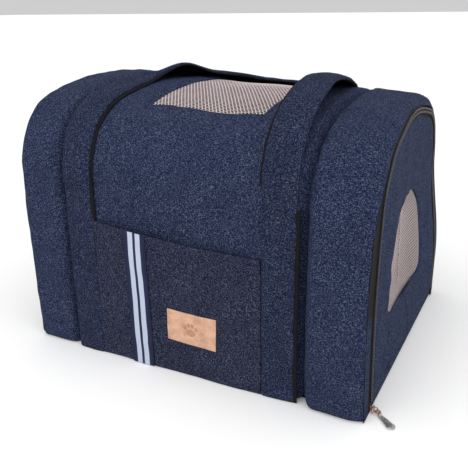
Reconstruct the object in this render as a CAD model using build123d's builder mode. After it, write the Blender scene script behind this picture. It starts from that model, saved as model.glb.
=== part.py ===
from build123d import *
from math import cos, radians, sin
import os

# Soft pet carrier: a padded denim loaf with straight walls, rounded shoulders and a gently crowned top.
# Origin at the middle of the base on the floor, +X towards the zip door, front (pocket) wall at -Y.

# Driving dimensions, millimetres
length = 420.0
depth = 344.0
height = 304.0
shoulder_radius = 80.0
crown_half_angle = 14.0

skin = 1.5
foam = 8.0
lining = 0.8
wall = skin + foam + lining

left_seam_x = -150.0
right_seam_x = 139.0
rim_x = 210.0
hem_z = 0.6

window_half_width = 76.0
window_low_z = 70.0
window_high_z = 189.0
window_foot_corner = 16.0
window_shoulder = 60.0
top_window_width = 136.0
top_window_depth = 224.0
top_window_x = 0.5
mesh_hem = 6.0
mesh_thick = 0.8

strap_width = 38.0
strap_thick = 4.0
strap_left_x = -129.0
strap_right_x = 114.0
stitch_z = 211.0
band_thick = 5.0
webbing = 1.4

zip_inset = 18.0
zip_row = 2.8
zip_gap = 1.2
hinge_x = 209.5
hinge_z = 8.5

# Sizes that follow from them
half_depth = depth / 2
crown_radius = shoulder_radius + (half_depth - shoulder_radius) / sin(radians(crown_half_angle))
shoulder_drop = (crown_radius - shoulder_radius) * cos(radians(crown_half_angle))
crown_centre_z = height - crown_radius
shoulder_z = crown_centre_z + shoulder_drop
wall_top_z = shoulder_z - 2.0
strap_centres = (strap_left_x, strap_right_x)
strap_mid_x = (strap_left_x + strap_right_x) / 2
strap_half_gap = (strap_right_x - strap_left_x) / 2

os.makedirs("parts", exist_ok=True)


def finish(node, name):
    """Labels a finished piece and writes its STEP file."""
    node.part.label = name
    export_step(node.part, f"parts/{name}.step")


def arch_face(inset, low_z, mode=Mode.ADD):
    """The carrier's end outline, drawn in YZ and moved inwards by inset, down to low_z."""
    side = half_depth - inset
    sweep = 90 - crown_half_angle
    with BuildLine() as outline:
        front = Line((-side, low_z), (-side, shoulder_z))
        CenterArc((shoulder_radius - half_depth, shoulder_z), shoulder_radius - inset, 180, -sweep)
        CenterArc((0, crown_centre_z), crown_radius - inset, 90 + crown_half_angle, -2 * crown_half_angle)
        CenterArc((half_depth - shoulder_radius, shoulder_z), shoulder_radius - inset, sweep, -sweep)
        Line((side, shoulder_z), (side, low_z))
        Line((side, low_z), front @ 0)
    make_face(outline.edges(), mode=mode)


def arch_band(x_low, x_high, outer_inset, inner_inset, low_z=hem_z):
    """An arch-shaped layer of the wrap between two insets, open along its bottom."""
    with BuildSketch(Plane.YZ.offset(x_low)) as ring:
        arch_face(outer_inset, low_z)
        arch_face(inner_inset, low_z, mode=Mode.SUBTRACT)
    extrude(ring.sketch, amount=x_high - x_low)


def arch_plate(x_low, x_high, inset, low_z=hem_z):
    """A flat arch-shaped panel that closes an end."""
    with BuildSketch(Plane.YZ.offset(x_low)) as panel:
        arch_face(inset, low_z)
    extrude(panel.sketch, amount=x_high - x_low)


def end_window(x_low, x_high, margin=0.0, mode=Mode.SUBTRACT):
    """The arched mesh window of an end panel, grown by margin."""
    side = window_half_width + margin
    low_z = window_low_z - margin
    high_z = window_high_z + margin
    foot = window_foot_corner + margin
    shoulder = window_shoulder + margin
    with BuildSketch(Plane.YZ.offset(x_low)) as window:
        with BuildLine() as outline:
            FilletPolyline(
                (side, low_z), (side, high_z), (-side, high_z), (-side, low_z),
                radius=[foot, shoulder, shoulder, foot],
                close=True,
            )
        make_face(outline.edges())
    extrude(window.sketch, amount=x_high - x_low, mode=mode)


def top_window(margin=0.0, mode=Mode.SUBTRACT):
    """The rectangular window column through the crown, grown by margin."""
    with BuildSketch(Plane.XY.offset(shoulder_z)) as window:
        with Locations((top_window_x, 0)):
            Rectangle(top_window_width + 2 * margin, top_window_depth + 2 * margin)
    extrude(window.sketch, amount=height, mode=mode)


# Base: outer panel, stiffener board and the pad that the animal lies on
panel_thick = 6.0
board_thick = 3.0
pad_thick = 15.0
sewing_gap = 0.2
base_half_depth = half_depth - wall - sewing_gap
base_low_x = wall + sewing_gap - length / 2
base_high_x = rim_x - 4.2
board_length = length - 24.0
board_depth = 2 * base_half_depth - 4.0
pad_margin = 3.0
with BuildPart() as bottom_panel:
    with BuildSketch(Plane.XY):
        with Locations(((base_low_x + base_high_x) / 2, 0)):
            RectangleRounded(base_high_x - base_low_x, 2 * base_half_depth, 6.0)
    extrude(amount=panel_thick)
finish(bottom_panel, "bottom_panel")

with BuildPart() as base_board:
    with BuildSketch(Plane.XY.offset(panel_thick)):
        RectangleRounded(board_length, board_depth, 12.0)
    extrude(amount=board_thick)
finish(base_board, "base_board")

with BuildPart() as base_pad:
    with BuildSketch(Plane.XY.offset(panel_thick + board_thick)):
        RectangleRounded(board_length - pad_margin, board_depth - pad_margin, 20.0)
    extrude(amount=pad_thick)
    fillet(base_pad.faces().sort_by(Axis.Z)[-1].edges(), 6.0)
finish(base_pad, "base_pad")

# Fixed left end: denim skin, mesh window, foam, lining
end_x = -length / 2
foam_end_x = end_x + skin + foam
lining_end_x = foam_end_x + lining
with BuildPart() as left_end_skin:
    arch_plate(end_x, end_x + skin, 0)
    end_window(end_x, end_x + skin)
finish(left_end_skin, "left_end_skin")

with BuildPart() as left_end_mesh:
    end_window(end_x + skin, end_x + skin + mesh_thick, mesh_hem, Mode.ADD)
finish(left_end_mesh, "left_end_mesh")

with BuildPart() as left_end_foam:
    arch_plate(end_x + skin, foam_end_x, skin)
    end_window(end_x + skin, foam_end_x, mesh_hem)
finish(left_end_foam, "left_end_foam")

with BuildPart() as left_end_lining:
    arch_plate(foam_end_x, lining_end_x, skin + foam)
    end_window(foam_end_x, lining_end_x, mesh_hem)
finish(left_end_lining, "left_end_lining")

# Left section of the wrap, up to the first seam
with BuildPart() as left_skin:
    arch_band(end_x + skin, left_seam_x, 0, skin)
finish(left_skin, "left_skin")

with BuildPart() as left_foam:
    arch_band(foam_end_x, left_seam_x, skin, skin + foam)
finish(left_foam, "left_foam")

# Middle section: one skin with the top window, and three foam panels behind it
with BuildPart() as middle_skin:
    arch_band(left_seam_x, right_seam_x, 0, skin)
    top_window()
finish(middle_skin, "middle_skin")

for side, foam_name in ((-1, "front_foam"), (1, "back_foam")):
    with BuildPart() as side_foam:
        with BuildSketch(Plane.YZ.offset(left_seam_x)):
            with Locations((side * (half_depth - skin - foam / 2), (hem_z + wall_top_z) / 2)):
                Rectangle(foam, wall_top_z - hem_z)
        extrude(amount=right_seam_x - left_seam_x)
    finish(side_foam, foam_name)

with BuildPart() as top_foam:
    arch_band(left_seam_x, right_seam_x, skin, skin + foam, wall_top_z)
    top_window(mesh_hem)
finish(top_foam, "top_foam")

with BuildPart() as top_mesh:
    with BuildSketch(Plane.YZ.offset(left_seam_x)):
        arch_face(skin, wall_top_z)
        arch_face(skin + mesh_thick, wall_top_z, mode=Mode.SUBTRACT)
    extrude(amount=right_seam_x - left_seam_x)
    top_window(mesh_hem, Mode.INTERSECT)
finish(top_mesh, "top_mesh")

# Right section of the wrap, up to the rim of the doorway
with BuildPart() as right_skin:
    arch_band(right_seam_x, rim_x, 0, skin)
finish(right_skin, "right_skin")

with BuildPart() as right_foam:
    arch_band(right_seam_x, rim_x - 2.0, skin, skin + foam)
finish(right_foam, "right_foam")

# Cabin lining over all three sections, and the tapes that bind the raw seams inside
with BuildPart() as cabin_lining:
    arch_band(lining_end_x, rim_x - 2.5, skin + foam, wall)
    top_window(mesh_hem)
finish(cabin_lining, "cabin_lining")

seam_tape_half = 9.0
seam_tape_thick = 1.0
seam_tape_low_z = 7.0
for seam_x, tape_name in ((left_seam_x, "left_seam_tape"), (right_seam_x, "right_seam_tape")):
    with BuildPart() as seam_tape:
        arch_band(
            seam_x - seam_tape_half, seam_x + seam_tape_half, wall, wall + seam_tape_thick, seam_tape_low_z
        )
    finish(seam_tape, tape_name)

# Zip round the doorway: a tape and a row of coil teeth on the wrap, the same pair on the door
zip_half = zip_gap / 2
tape_width = 13.0
tape_x = rim_x - 2.0
teeth_x = tape_x + 1.0
teeth_high = 2.0
door_low_z = hinge_z + 0.6
wrap_tape_inset = zip_inset - zip_half - 0.5
stop_z = 3.9
with BuildPart() as zip_tape_wrap:
    arch_band(tape_x, teeth_x, wrap_tape_inset - tape_width, wrap_tape_inset)
finish(zip_tape_wrap, "zip_tape_wrap")

teeth_top_x = teeth_x + teeth_high
with BuildPart() as zip_teeth_wrap:
    arch_band(teeth_x, teeth_top_x, zip_inset - zip_half - zip_row, zip_inset - zip_half, door_low_z)
finish(zip_teeth_wrap, "zip_teeth_wrap")

door_tape_inset = zip_inset + zip_half + 0.5
with BuildPart() as zip_tape_door:
    arch_band(tape_x, teeth_x, door_tape_inset, door_tape_inset + tape_width, door_low_z)
finish(zip_tape_door, "zip_tape_door")

with BuildPart() as zip_teeth_door:
    arch_band(teeth_x, teeth_top_x, zip_inset + zip_half, zip_inset + zip_half + zip_row, door_low_z)
finish(zip_teeth_door, "zip_teeth_door")

with BuildPart() as zip_stop:
    with BuildSketch(Plane.YZ.offset(teeth_x)):
        with Locations((half_depth - zip_inset, stop_z)):
            RectangleRounded(6.0, 5.0, 1.0)
    extrude(amount=teeth_high)
finish(zip_stop, "zip_stop")

# Door: skin, mesh window, foam and lining, hung on a fabric strip along its bottom edge
door_inset = 24.0
door_foam_inset = door_tape_inset + tape_width + 0.2
door_in_x = tape_x - 7.0
with BuildPart() as door_skin:
    arch_plate(teeth_x, teeth_x + skin, door_inset, door_low_z)
    end_window(teeth_x, teeth_x + skin)
finish(door_skin, "door_skin")

with BuildPart() as door_mesh:
    end_window(teeth_x - mesh_thick, teeth_x, mesh_hem, Mode.ADD)
finish(door_mesh, "door_mesh")

with BuildPart() as door_foam:
    arch_plate(door_in_x, teeth_x, door_foam_inset, door_low_z)
    end_window(door_in_x, teeth_x, mesh_hem + 0.2)
finish(door_foam, "door_foam")

with BuildPart() as door_lining:
    arch_plate(door_in_x - lining, door_in_x, door_foam_inset - 6.0, door_low_z)
    end_window(door_in_x - lining, door_in_x, mesh_hem)
finish(door_lining, "door_lining")

with BuildPart() as door_hinge_strip:
    with BuildSketch(Plane.YZ.offset(base_high_x)):
        with Locations((0, hinge_z / 2)):
            Rectangle(2 * (half_depth - door_inset), hinge_z - 1.0)
    extrude(amount=rim_x - 0.2 - base_high_x)
finish(door_hinge_strip, "door_hinge_strip")

# Zip slider at the foot of the front run: two plates round the tapes, joined by a web between the rows,
# with a bridge in front for the puller's link
slider_y = zip_inset - half_depth
slider_z = 3.75
slider_width = 8.4
slider_tall = 6.2
slider_front_x = teeth_top_x + 0.4
slider_back_x = tape_x - 0.5
plate = 1.1
bridge_x = slider_front_x + plate + 2.0
bridge_tall = 6.1
bridge_deep = 5.0
bridge_wire = 0.8
with BuildPart() as zip_slider:
    for plate_x in (slider_front_x, slider_back_x - plate):
        with BuildSketch(Plane.YZ.offset(plate_x)):
            with Locations((slider_y, slider_z)):
                RectangleRounded(slider_width, slider_tall, 2.4)
        extrude(amount=plate)
    with BuildSketch(Plane.YZ.offset(slider_back_x - 0.2)):
        with Locations((slider_y, slider_z)):
            Rectangle(0.5, slider_tall - 1.0)
    extrude(amount=slider_front_x - slider_back_x + 0.4)
    with BuildSketch(Plane.XZ.offset(-slider_y - 0.5)):
        with Locations((bridge_x, slider_z)):
            SlotOverall(bridge_tall, bridge_deep, rotation=90)
            SlotOverall(bridge_tall - 2 * bridge_wire, bridge_deep - 2 * bridge_wire, 90, mode=Mode.SUBTRACT)
    extrude(amount=1.0)
finish(zip_slider, "zip_slider")

# Puller: a wire link through the slider's bridge and a flat drop just off the floor, turned to the front
puller_turn = -42.0
puller_length = 30.0
link_low_z = 2.5
link_high_z = 3.7
link_x = bridge_x + 0.3
puller_plane = Plane(origin=(link_x, slider_y, 0), z_dir=(0, 0, 1)).rotated((0, 0, puller_turn))
with BuildPart() as puller_link:
    with BuildSketch(puller_plane.offset(link_low_z)):
        with Locations((3.0, 0)):
            RectangleRounded(7.0, 6.0, 2.4)
            RectangleRounded(5.0, 4.4, 1.4, mode=Mode.SUBTRACT)
    extrude(amount=link_high_z - link_low_z)
finish(puller_link, "puller_link")

puller_low_z = 0.6
neck_x = 4.7
neck_half = 1.6
drop_x = puller_length - 5.0
drop_half = 4.2
with BuildPart() as zip_puller:
    with BuildSketch(puller_plane.offset(puller_low_z)):
        with BuildLine():
            neck = Line((neck_x, -neck_half), (neck_x, neck_half))
            side = Line((neck_x, neck_half), (drop_x, drop_half))
            ThreePointArc(side @ 1, (puller_length, 0), (drop_x, -drop_half))
            Line((drop_x, -drop_half), neck @ 0)
        make_face()
    extrude(amount=1.2)
    with BuildSketch(puller_plane.offset(1.8)):
        with Locations((6.0, 0)):
            Rectangle(2.6, 2.4)
    extrude(amount=link_high_z - 0.9)
    with BuildSketch(puller_plane.offset(link_low_z - 0.1)):
        with Locations((6.0, 0)):
            Rectangle(1.2, 4.0)
    extrude(amount=link_high_z - link_low_z + 0.2, mode=Mode.SUBTRACT)
finish(zip_puller, "zip_puller")

# Front pocket with a gaping mouth that drops a little towards the door, its ribbon and leather label
pocket_left_x = strap_left_x + strap_width / 2
pocket_right_x = strap_right_x - strap_width / 2
mouth_left_z = 166.0
mouth_right_z = 153.0
pocket_gap = 5.5
pocket_face = half_depth + pocket_gap
hem_turn = 3.0
mouth_slope = (mouth_right_z - mouth_left_z) / (pocket_right_x - pocket_left_x)


def mouth_z(x):
    """Height of the pocket's mouth at a place along it."""
    return mouth_left_z + mouth_slope * (x - pocket_left_x)


def pocket_face_outline(x_low, x_high, low_z, drop=0.0, mode=Mode.ADD):
    """A panel in XZ whose top follows the mouth, lowered by drop."""
    with BuildLine() as outline:
        Polyline(
            (x_low, low_z),
            (x_high, low_z),
            (x_high, mouth_z(x_high) - drop),
            (x_low, mouth_z(x_low) - drop),
            close=True,
        )
    make_face(outline.edges(), mode=mode)


with BuildPart() as front_pocket:
    with BuildSketch(Plane.XZ.offset(pocket_face)):
        pocket_face_outline(pocket_left_x, pocket_right_x, hem_z)
    extrude(amount=skin)
    with BuildSketch(Plane.XZ.offset(half_depth)):
        pocket_face_outline(pocket_left_x, pocket_right_x, hem_z, 4.0)
        pocket_face_outline(
            pocket_left_x + hem_turn, pocket_right_x - hem_turn, hem_z + hem_turn, -1.0, Mode.SUBTRACT
        )
    extrude(amount=pocket_gap)
finish(front_pocket, "front_pocket")

ribbon_x = -52.0
ribbon_width = 28.0
with BuildPart() as pocket_ribbon:
    with BuildSketch(Plane.XZ.offset(pocket_face + skin)):
        pocket_face_outline(ribbon_x - ribbon_width / 2, ribbon_x + ribbon_width / 2, hem_z)
    extrude(amount=0.8)
finish(pocket_ribbon, "pocket_ribbon")

label_x = 14.2
label_z = 60.0
label_width = 60.5
label_tall = 38.5
label_turn = -2.0
with BuildPart() as leather_label:
    with BuildSketch(Plane.XZ.offset(pocket_face + skin)):
        with Locations((label_x, label_z)):
            RectangleRounded(label_width, label_tall, 1.0, rotation=label_turn)
    extrude(amount=1.6)
finish(leather_label, "leather_label")

# Straps sewn up the walls; behind, their free ends stand past the stitching as far as the fold
fold_z = 268.0
for wall_side, wall_name, strap_top in ((-1, "front", stitch_z), (1, "back", fold_z - 6.0)):
    for strap_x, side_name in zip(strap_centres, ("left", "right")):
        wall_plane = Plane.XZ.offset(half_depth if wall_side < 0 else -half_depth - strap_thick)
        with BuildPart() as strap:
            with BuildSketch(wall_plane):
                with Locations((strap_x, (hem_z + strap_top) / 2)):
                    Rectangle(strap_width, strap_top - hem_z)
            extrude(amount=strap_thick)
        finish(strap, f"{wall_name}_strap_{side_name}")

# Front handle, thrown back over the top: it stands up off the shoulder and comes down behind the crown
front_pivot_y = -half_depth - 0.5 - band_thick / 2
front_pivot_z = stitch_z + band_thick / 2 + 0.5
rise_radius = 105.0
rise_start_z = front_pivot_z + 4.0
crest_y = front_pivot_y + rise_radius
crest_z = rise_start_z + rise_radius
drape_radius = 600.0
loop_corner = 85.0
loop_back_y = 105.0
drape_angle = 20.0


def draped_layer(inside, outside, from_z):
    """Side outline of one layer of the draped handle, between two offsets from its middle line."""
    outer_y = front_pivot_y - outside
    inner_y = front_pivot_y - inside
    with BuildLine() as outline:
        Line((inner_y, from_z), (outer_y, from_z))
        Line((outer_y, from_z), (outer_y, rise_start_z))
        CenterArc((crest_y, rise_start_z), rise_radius + outside, 180, -90)
        over = CenterArc((crest_y, crest_z - drape_radius), drape_radius + outside, 90, -drape_angle)
        under = CenterArc((crest_y, crest_z - drape_radius), drape_radius + inside, 90, -drape_angle)
        Line(over @ 1, under @ 1)
        CenterArc((crest_y, rise_start_z), rise_radius + inside, 180, -90)
        Line((inner_y, rise_start_z), (inner_y, from_z))
    make_face(outline.edges())


def handle_loop(plane, near, far, corner, thick, mode=Mode.ADD):
    """Loop of strap, thick along the plane's normal: two legs from near and a round-cornered run at far."""
    half_outer = strap_half_gap + strap_width / 2
    half_inner = strap_half_gap - strap_width / 2
    with BuildSketch(plane) as loop:
        for half, reach, radius, step in (
            (half_outer, far + strap_width / 2, corner + strap_width / 2, Mode.ADD),
            (half_inner, far - strap_width / 2, corner - strap_width / 2, Mode.SUBTRACT),
        ):
            with BuildLine() as outline:
                FilletPolyline(
                    (strap_mid_x - half, near),
                    (strap_mid_x - half, reach),
                    (strap_mid_x + half, reach),
                    (strap_mid_x + half, near),
                    radius=radius,
                )
                Line((strap_mid_x + half, near), (strap_mid_x - half, near))
            make_face(outline.edges(), mode=step)
    extrude(loop.sketch, amount=thick, mode=mode)


loop_bottom = front_pivot_z - band_thick
for inside, outside, from_z, name in (
    (webbing - band_thick / 2, band_thick / 2, front_pivot_z, "front_handle_band"),
    (-band_thick / 2, webbing - band_thick / 2, front_pivot_z + 2.0, "front_handle_lining"),
):
    with BuildPart() as handle:
        with BuildSketch(Plane.YZ.offset(strap_left_x - strap_width)):
            draped_layer(inside, outside, from_z)
        extrude(amount=2 * strap_half_gap + 2 * strap_width)
        near_y = front_pivot_y - band_thick
        loop_plane = Plane.XY.offset(loop_bottom)
        handle_loop(loop_plane, near_y, loop_back_y, loop_corner, height, Mode.INTERSECT)
    finish(handle, name)

# Back handle, hanging down behind from the fold at the top of its strap ends
back_pivot_y = half_depth + strap_thick + 2.5 + band_thick / 2
hang_corner = 60.0
hang_low_z = 27.0
hang_plane = Plane(origin=(0, back_pivot_y + band_thick / 2, fold_z), x_dir=(1, 0, 0), z_dir=(0, 1, 0))
hang_reach = fold_z - hang_low_z
for depth_in, thick, name in (
    (0.0, band_thick - webbing, "back_handle_band"),
    (band_thick - webbing, webbing, "back_handle_lining"),
):
    with BuildPart() as handle:
        handle_loop(hang_plane.offset(-depth_in), 0.0, hang_reach, hang_corner, -thick)
    finish(handle, name)
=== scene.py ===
import math

import bpy
import numpy as np
from mathutils import Matrix, Vector


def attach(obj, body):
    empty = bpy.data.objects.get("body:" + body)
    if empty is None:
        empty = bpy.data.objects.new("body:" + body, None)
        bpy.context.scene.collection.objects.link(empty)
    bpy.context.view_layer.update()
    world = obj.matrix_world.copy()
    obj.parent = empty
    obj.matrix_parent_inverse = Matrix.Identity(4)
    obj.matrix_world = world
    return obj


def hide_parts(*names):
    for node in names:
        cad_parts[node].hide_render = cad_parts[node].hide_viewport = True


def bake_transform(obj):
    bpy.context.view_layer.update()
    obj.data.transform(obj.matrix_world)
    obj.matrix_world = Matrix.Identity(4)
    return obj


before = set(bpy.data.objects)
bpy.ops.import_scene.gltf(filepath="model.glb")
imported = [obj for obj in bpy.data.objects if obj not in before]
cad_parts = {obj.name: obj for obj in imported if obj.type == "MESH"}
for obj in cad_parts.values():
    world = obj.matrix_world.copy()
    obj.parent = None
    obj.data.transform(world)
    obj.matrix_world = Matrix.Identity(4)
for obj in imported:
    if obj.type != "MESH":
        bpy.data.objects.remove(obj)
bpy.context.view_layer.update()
fabric_rng = np.random.default_rng(7)

# The loaf's end outline, in metres: straight walls, round shoulders and a gently crowned top
HALF_DEPTH = 0.172
SHOULDER = 0.080
CROWN_ANGLE = math.radians(14.0)
CROWN = SHOULDER + (HALF_DEPTH - SHOULDER) / math.sin(CROWN_ANGLE)
CROWN_Z = 0.304 - CROWN
SHOULDER_Z = CROWN_Z + (CROWN - SHOULDER) * math.cos(CROWN_ANGLE)
CROWN_ARC = CROWN * CROWN_ANGLE
SHOULDER_ARC = SHOULDER * (math.pi / 2 - CROWN_ANGLE)
HALF_ARC = CROWN_ARC + SHOULDER_ARC + SHOULDER_Z
LEFT_SEAM, RIGHT_SEAM = -0.150, 0.1395
END_X, RIM_X = -0.2095, 0.2088
HEM = 0.0006
PADDING = 0.0094
WINDOW_X = (-0.0675, 0.0685)
WINDOW_T = 0.1131
STRAP_X = (-0.1285, 0.1145)
STRAP_WIDTH = 0.037
STITCH_Z, BACK_STITCH_Z = 0.211, 0.262
POCKET_X = (-0.110, 0.0955)
ZIP_X = 0.2088
RIBBON_X = (-0.066, -0.038)
MOUTH_LEFT, MOUTH_RIGHT = 0.1665, 0.1535
FOOT_Z = 0.0096
TOP_STITCH_OUT = 0.0062

# The arched end windows
END_WINDOW_HALF, END_WINDOW_LOW, END_WINDOW_HIGH = 0.076, 0.070, 0.189
END_WINDOW_FOOT, END_WINDOW_SHOULDER = 0.016, 0.060
WINDOW_MIDDLE_Z = 0.127
AROUND = 260

# Cloth and tape, in thickness
LINING_THICK, WEBBING_THICK, NET_THICK = 0.0007, 0.0013, 0.00018
STRAP_LIFT = 0.0006
# The black webbing reaches further than the strap on one side; that strip past the edge is painted shade, a
# dark band for the strap's edge shadow.
WEBBING_AND_SHADE_REACH = (-0.017, 0.0218)


# ---------------------------------------------------------------- shapes
def smooth(value, low, high):
    """0 below low, 1 above high and an easy slope between."""
    part = np.clip((value - low) / (high - low), 0, 1)
    return part * part * (3 - 2 * part)


def spread(*stops):
    """Positions through value, faces, value, faces, ... value."""
    found = [stops[0]]
    for place in range(1, len(stops) - 1, 2):
        found += list(np.linspace(found[-1], stops[place + 1], stops[place] + 1))[1:]
    return np.array(found)


def waves(count, short, long):
    """Seeded sine waves that add up to loose rumples: wave numbers and phases."""
    length = fabric_rng.uniform(short, long, count)
    turn = fabric_rng.uniform(0, 2 * math.pi, count)
    number = 2 * math.pi / length
    return number * np.cos(turn), number * np.sin(turn), fabric_rng.uniform(0, 2 * math.pi, count)


SLOW_RUMPLES = waves(14, 0.055, 0.13)
FINE_RUMPLES = waves(16, 0.018, 0.045)
PUCKERS = waves(5, 0.011, 0.024)


def rumple(a, b, kind):
    """Height between about -1 and 1 of a rumple pattern at a place on the cloth."""
    total = np.zeros_like(a)
    for across, along, phase in zip(*kind):
        total = total + np.sin(across * a + along * b + phase)
    return total / math.sqrt(len(kind[0]) * 2)


def arch(t):
    """Y, Z and outward direction at cloth length t from the crown, towards the front below zero."""
    far = np.abs(t)
    turn = np.where(
        far < CROWN_ARC,
        far / CROWN,
        np.minimum(CROWN_ANGLE + (far - CROWN_ARC) / SHOULDER, math.pi / 2),
    )
    on_crown = far < CROWN_ARC
    y = np.where(on_crown, CROWN * np.sin(turn), HALF_DEPTH - SHOULDER + SHOULDER * np.sin(turn))
    z = np.where(on_crown, CROWN_Z + CROWN * np.cos(turn), SHOULDER_Z + SHOULDER * np.cos(turn))
    z = z - np.maximum(far - CROWN_ARC - SHOULDER_ARC, 0)
    side = np.where(t < 0, -1.0, 1.0)
    return side * y, z, side * np.sin(turn), np.cos(turn)


def soften(x, y, z):
    """The way the whole stuffed bag stands: crown high at the fixed end, doorway leaning in at the back."""
    drop = np.interp(
        x, (-0.21, -0.12, 0.0, 0.1, 0.16, 0.21), (0.006, 0.003, -0.0015, -0.004, -0.007, -0.008),
    )
    lift = smooth(z, 0.16, 0.29) * drop
    lean = 0.0135 * smooth(z, 0.06, 0.20) * smooth(y, -0.17, 0.06)
    sunk = 0.0026 * np.sin(np.clip(z / 0.25, 0, 1) * math.pi) * (1 - smooth(y, -0.17, 0.02))
    return x - (lean + sunk) * smooth(x, 0.09, 0.21), y, z + lift


def on_loaf(x, t, out):
    """Places on the softened loaf from cloth coordinates and the height above its surface."""
    y, z, across, up = arch(t)
    return np.stack(soften(x, y + across * out, z + up * out), 1)


def bulge(x, t):
    """How far each stuffed section of the wrap stands proud of the plain loaf."""
    height = HALF_ARC - np.abs(t)
    front = t < 0
    door_part = smooth(x, RIGHT_SEAM, RIGHT_SEAM + 0.016) * (1 - 0.35 * smooth(x, 0.190, 0.2088))
    door_front = np.interp(
        height, (0, 0.06, 0.14, 0.20, 0.25, 0.32, 0.43),
        (0.010, 0.013, 0.015, 0.009, 0.003, 0.0, 0.002),
    )
    door_back = np.interp(height, (0, 0.1, 0.2, 0.3, 0.43), (0.003, 0.006, 0.005, 0.001, 0.002))
    end_part = 1 - smooth(x, LEFT_SEAM - 0.016, LEFT_SEAM)
    end_height = np.interp(height, (0, 0.1, 0.22, 0.32, 0.43), (0.003, 0.006, 0.005, 0.003, 0.002))
    middle = smooth(x, LEFT_SEAM, LEFT_SEAM + 0.03) * (1 - smooth(x, RIGHT_SEAM - 0.03, RIGHT_SEAM))
    sag = 0.0012 * rumple(x, t, SLOW_RUMPLES)
    return door_part * np.where(front, door_front, door_back) + end_part * end_height + 0.001 * middle + sag


def rim_roll(t):
    """How deep and how wide the wrap's edge rolls over the zip: most over the crown."""
    top = 1 - smooth(np.abs(t), 0.175, 0.250)
    return 0.0030 + 0.0105 * top, 0.0070 + 0.0075 * top


def seams(x, t):
    """Grooves where the sections are sewn together, with the puckers that the thread pulls in."""
    total = np.zeros_like(x)
    for seam_x, deep, wide in ((LEFT_SEAM, 0.0085, 0.0040), (RIGHT_SEAM, 0.0090, 0.0045)):
        away = np.abs(x - seam_x)
        total = total - deep * np.exp(-((away / wide) ** 2))
        total = total + 0.0007 * np.exp(-((away / 0.016) ** 2)) * rumple(x * 0.35, t, PUCKERS)
    deep, wide = rim_roll(t)
    rim = np.clip((x - RIM_X + wide) / wide, 0, 1)
    end = np.clip((END_X + 0.008 - x) / 0.008, 0, 1)
    total = total - deep * (1 - np.sqrt(1 - rim**2)) - 0.0050 * (1 - np.sqrt(1 - end**2))
    total = total + 0.0005 * rim * rumple(x, t * 0.7, PUCKERS)
    foot = 1 - smooth(HALF_ARC - np.abs(t), 0.0, 0.010)
    window = np.maximum(
        np.maximum(WINDOW_X[0] - x, x - WINDOW_X[1]),
        np.abs(t) - WINDOW_T,
    )
    turned = 0.0011 * smooth(window, 0.0075, 0.0095) - 0.0011
    near_window = (np.abs(t) < WINDOW_T + 0.02) & (x > WINDOW_X[0] - 0.02) & (x < WINDOW_X[1] + 0.02)
    edge = 0.0022 * (1 - smooth(window, 0.0, 0.003))
    return total - 0.0035 * foot**2 + np.where(near_window, turned - edge, 0)


def wrap_relief(x, t):
    """Everything that shapes the outside of the wrap."""
    return bulge(x, t) + seams(x, t) + 0.00045 * rumple(x, t, FINE_RUMPLES)


# ---------------------------------------------------------------- making pieces
def clear_selection():
    """Leaves edit mode and selects nothing."""
    if bpy.context.object and bpy.context.object.mode != "OBJECT":
        bpy.ops.object.mode_set(mode="OBJECT")
    bpy.ops.object.select_all(action="DESELECT")


def pick(piece):
    """Makes one piece the selected, active one."""
    clear_selection()
    piece.select_set(True)
    bpy.context.view_layer.objects.active = piece


def places(piece):
    """The piece's points as rows of x, y, z."""
    flat = np.zeros(len(piece.data.vertices) * 3)
    piece.data.vertices.foreach_get("co", flat)
    return flat.reshape(-1, 3)


def set_places(piece, rows):
    """Moves the piece's points."""
    piece.data.vertices.foreach_set("co", np.asarray(rows, float).reshape(-1))
    piece.data.update()


def modify(piece, kind, **settings):
    """Adds a modifier, sets it and applies it."""
    pick(piece)
    modifier = piece.modifiers.new(kind.title(), kind)
    for setting, value in settings.items():
        setattr(modifier, setting, value)
    bpy.ops.object.modifier_apply(modifier=modifier.name)
    return piece


def rename(piece, name):
    """Names a piece and its mesh."""
    piece.name = name
    piece.data.name = name
    return piece


def repeat(piece, count, step):
    """Repeats a piece in a row, one step apart."""
    return modify(
        piece, "ARRAY", fit_type="FIXED_COUNT", count=count,
        use_relative_offset=False, use_constant_offset=True, constant_offset_displace=step,
    )


def face_outward(piece, weld=0.0):
    """Turns every face outwards, after welding points closer than weld."""
    pick(piece)
    bpy.ops.object.mode_set(mode="EDIT")
    bpy.ops.mesh.select_all(action="SELECT")
    if weld:
        bpy.ops.mesh.remove_doubles(threshold=weld)
    bpy.ops.mesh.normals_make_consistent(inside=False)
    bpy.ops.object.mode_set(mode="OBJECT")
    return piece


def corner_points(piece):
    """The point that each face corner uses."""
    found = np.zeros(len(piece.data.loops), int)
    piece.data.loops.foreach_get("vertex_index", found)
    return found


def cloth(name, across, along):
    """A sheet cut flat: x across the carrier, y along the cloth, its map in metres of cloth."""
    clear_selection()
    columns, rows = len(across) - 1, len(along) - 1
    bpy.ops.mesh.primitive_grid_add(x_subdivisions=columns, y_subdivisions=rows, size=1, location=(0, 0, 0))
    piece = rename(bpy.context.object, name)
    grid = places(piece)
    column = np.rint((grid[:, 0] + 0.5) * columns).astype(int)
    row = np.rint((grid[:, 1] + 0.5) * rows).astype(int)
    set_places(piece, np.stack((across[column], along[row], np.zeros(len(grid))), 1))
    map_cloth(piece)
    return piece


def map_cloth(piece):
    """Writes the piece's flat place as its map, in metres of cloth."""
    layer = piece.data.uv_layers.active or piece.data.uv_layers.new(name="UVMap")
    layer.data.foreach_set("uv", places(piece)[corner_points(piece), :2].reshape(-1))


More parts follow.
